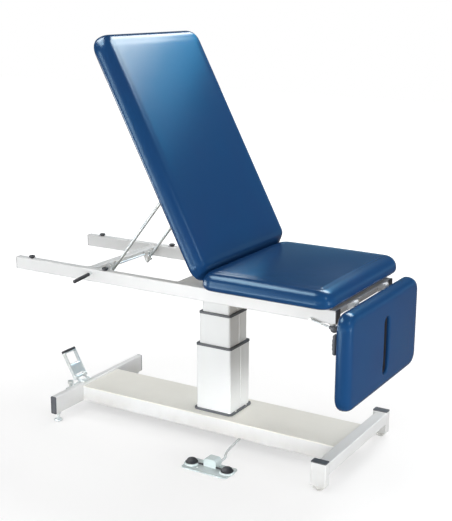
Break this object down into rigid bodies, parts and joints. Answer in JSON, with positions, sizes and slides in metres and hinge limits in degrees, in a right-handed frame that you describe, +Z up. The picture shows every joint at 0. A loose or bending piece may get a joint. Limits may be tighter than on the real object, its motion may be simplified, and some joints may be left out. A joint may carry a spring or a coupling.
{
  "type": "treatment table",
  "caption": "Padded treatment table with a raising back, seat and hanging drop section with a face slot, on a telescopic lift column over a low wheeled base with an air foot switch.",
  "frame": {"origin": "on the floor, at the middle of the table's footprint, the hose left out", "axes": "+X along the table towards the drop section, +Y across it away from the foot switch, +Z up"},
  "size_m": [1.6454, 0.758, 1.6842],
  "materials": {
    "white_paint": "satin",
    "base_top_paint": "satin",
    "dark_plastic": "satin",
    "dark_rubber": "matte",
    "zinc": "satin",
    "motor_casting": "matte",
    "nylon": "satin",
    "foot_plate_paint": "gloss",
    "clear_tube": "gloss",
    "plywood": "satin",
    "blue_vinyl": "gloss"
  },
  "bodies": {
    "base": {"base_side_rail_near": "white_paint", "base_side_rail_far": "white_paint", "base_cover_plate": "base_top_paint", "head_beam": "white_paint", "foot_beam": "white_paint", "foot_post_near": "white_paint", "foot_post_far": "white_paint", "base_end_caps": "dark_plastic", "axle_shafts": "zinc", "levelling_feet": "zinc", "base_bolts": "zinc", "caster_bracket": "zinc", "column_outer": "white_paint", "column_outer_gasket": "dark_plastic", "column_base_collar": "dark_plastic", "lift_actuator_tube": "zinc", "lift_gearmotor": "motor_casting", "control_box": "dark_plastic", "foot_switch_plate": "foot_plate_paint", "bulb_seats": "dark_rubber", "air_hose": "clear_tube"},
    "foot_wheel_near": {"foot_wheel_near": "nylon"},
    "foot_wheel_far": {"foot_wheel_far": "nylon"},
    "caster_pedal": {"caster_lever": "zinc", "caster_pad": "dark_rubber"},
    "caster_carriage": {"caster_fork": "zinc"},
    "caster_wheel": {"caster_wheel": "dark_rubber"},
    "raise_bulb": {"raise_bulb": "dark_rubber"},
    "lower_bulb": {"lower_bulb": "dark_rubber"},
    "column_middle": {"column_middle": "white_paint", "column_middle_gasket": "dark_plastic", "lift_middle_tube": "zinc"},
    "top_frame": {"column_inner": "white_paint", "lift_rod": "zinc", "frame_rail_near": "white_paint", "frame_rail_far": "white_paint", "frame_rail_caps": "dark_plastic", "column_bolster": "white_paint", "frame_cross_tubes": "white_paint", "rail_bumpers": "dark_rubber", "hinge_ears": "white_paint", "hinge_pins": "zinc", "lock_ears": "white_paint", "seat_board": "plywood", "seat_cushion": "blue_vinyl"},
    "back_section": {"back_board": "plywood", "back_cushion": "blue_vinyl", "back_hinge_arms": "white_paint"},
    "lock_housings": {"lock_housings": "zinc"},
    "lock_rods": {"lock_rods": "zinc"},
    "back_release_bar": {"back_release_bar": "zinc", "back_release_grip": "dark_rubber"},
    "drop_section": {"drop_board": "plywood", "drop_cushion": "blue_vinyl", "drop_hinge_arms": "white_paint", "drop_grip": "dark_plastic"},
    "drop_lock_housing": {"drop_lock_housing": "zinc"},
    "drop_lock_rod": {"drop_lock_rod": "zinc"},
    "drop_release_lever": {"drop_release_lever": "zinc", "drop_release_knob": "dark_plastic"}
  },
  "joints": [
    {"name": "foot_wheel_near_spin", "type": "hinge", "parent": "base", "child": "foot_wheel_near", "pos_m": [0.69875, -0.2635, 0.027], "axis": [0, 1, 0], "continuous": true},
    {"name": "foot_wheel_far_spin", "type": "hinge", "parent": "base", "child": "foot_wheel_far", "pos_m": [0.69875, 0.3355, 0.027], "axis": [0, 1, 0], "continuous": true},
    {"name": "caster_pedal_press", "type": "hinge", "parent": "base", "child": "caster_pedal", "pos_m": [-0.63025, -0.0545, 0.138], "axis": [0, -1, 0], "range_deg": [0, 55]},
    {"name": "caster_drop", "type": "slide", "parent": "base", "child": "caster_carriage", "axis": [0, 0, -1], "range_m": [0, 0.022]},
    {"name": "caster_wheel_spin", "type": "hinge", "parent": "caster_carriage", "child": "caster_wheel", "pos_m": [-0.64025, -0.112, 0.049], "axis": [0, 1, 0], "continuous": true},
    {"name": "raise_bulb_press", "type": "slide", "parent": "base", "child": "raise_bulb", "axis": [0, 0, -1], "range_m": [0, 0.006], "stiffness_N_per_m": 1500, "springref_m": -0.001},
    {"name": "lower_bulb_press", "type": "slide", "parent": "base", "child": "lower_bulb", "axis": [0, 0, -1], "range_m": [0, 0.006], "stiffness_N_per_m": 1500, "springref_m": -0.001},
    {"name": "lift_lower_stage", "type": "slide", "parent": "base", "child": "column_middle", "axis": [0, 0, 1], "range_m": [-0.13, 0.071]},
    {"name": "lift_upper_stage", "type": "slide", "parent": "column_middle", "child": "top_frame", "axis": [0, 0, 1], "range_m": [-0.13, 0.071]},
    {"name": "back_raise", "type": "hinge", "parent": "top_frame", "child": "back_section", "pos_m": [0.16475, 0.036, 0.726], "axis": [0, 1, 0], "range_deg": [-62, 0]},
    {"name": "lock_swing", "type": "hinge", "parent": "top_frame", "child": "lock_housings", "pos_m": [-0.39855, 0.036, 0.676], "axis": [0, 1, 0], "range_deg": [0, 49.68]},
    {"name": "lock_rod_slide", "type": "slide", "parent": "lock_housings", "child": "lock_rods", "axis": [0.6187, 0, 0.7857], "range_m": [-0.3869, 0]},
    {"name": "back_release_pull", "type": "slide", "parent": "top_frame", "child": "back_release_bar", "axis": [0, -1, 0], "range_m": [0, 0.012], "stiffness_N_per_m": 800, "springref_m": -0.002},
    {"name": "drop_raise", "type": "hinge", "parent": "top_frame", "child": "drop_section", "pos_m": [0.75225, 0.036, 0.7185], "axis": [0, -1, 0], "range_deg": [0, 90]},
    {"name": "drop_lock_swing", "type": "hinge", "parent": "top_frame", "child": "drop_lock_housing", "pos_m": [0.62475, -0.109, 0.637], "axis": [0, -1, 0], "range_deg": [0, 42.15]},
    {"name": "drop_lock_slide", "type": "slide", "parent": "drop_lock_housing", "child": "drop_lock_rod", "axis": [0.8867, 0, -0.4624], "range_m": [0, 0.14791]},
    {"name": "drop_release_turn", "type": "hinge", "parent": "top_frame", "child": "drop_release_lever", "pos_m": [0.63475, -0.2465, 0.672], "axis": [0, 1, 0], "range_deg": [0, 20], "stiffness_Nm_per_rad": 1.5, "springref_deg": -6.88}
  ],
  "couplings": [
    {"joint": "caster_drop", "follows": "caster_pedal_press", "m_per_rad": 0.022918},
    {"joint": "lift_upper_stage", "follows": "lift_lower_stage", "ratio": 1},
    {"joint": "lock_swing", "follows": "back_raise", "ratio": -0.80055},
    {"joint": "lock_rod_slide", "follows": "back_raise", "m_per_rad": 0.35727},
    {"joint": "drop_lock_swing", "follows": "drop_raise", "ratio": 0.46783},
    {"joint": "drop_lock_slide", "follows": "drop_raise", "m_per_rad": 0.093974}
  ]
}
